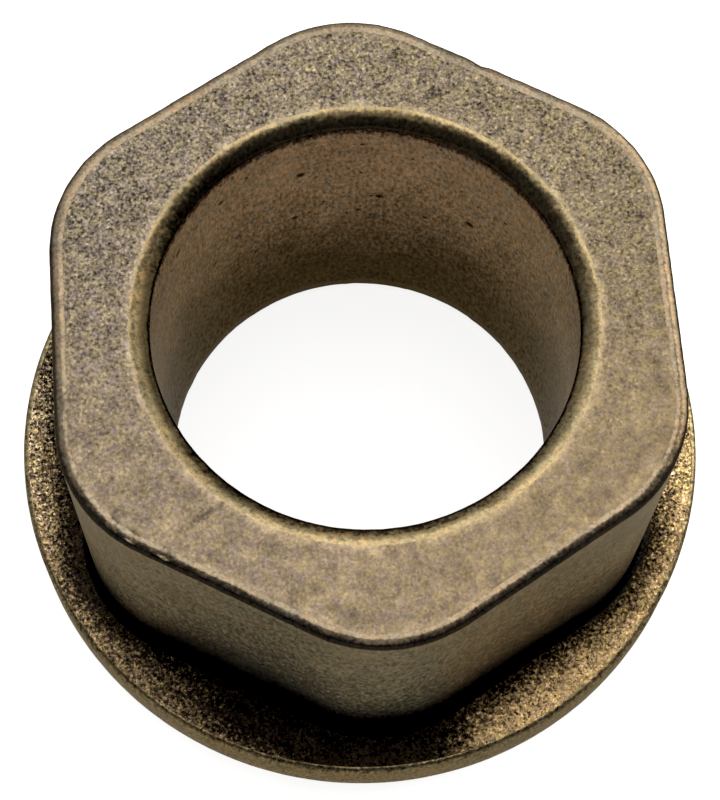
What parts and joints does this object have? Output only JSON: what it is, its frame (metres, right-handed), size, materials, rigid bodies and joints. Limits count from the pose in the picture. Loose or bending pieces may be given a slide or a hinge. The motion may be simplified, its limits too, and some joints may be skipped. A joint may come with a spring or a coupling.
{
  "type": "hexagonal flanged plain bushing",
  "caption": "Sintered bronze plain bushing: a hexagonal body with rounded corners on a round flange, with a straight chamfered bore in which a shaft turns.",
  "frame": {"origin": "middle of the bore on the flange's underside", "axes": "+Z along the bore from the flange to the hexagonal end; hexagon flats face +X and -X, hexagon corners point at +Y and -Y"},
  "size_m": [0.034, 0.034, 0.019],
  "materials": {
    "sintered_bronze": "sintered bronze: fine gritty pressed faces, smoother die-burnished side walls and bore"
  },
  "bodies": {
    "root": {"hex_flange_bushing": "sintered_bronze"}
  },
  "joints": []
}
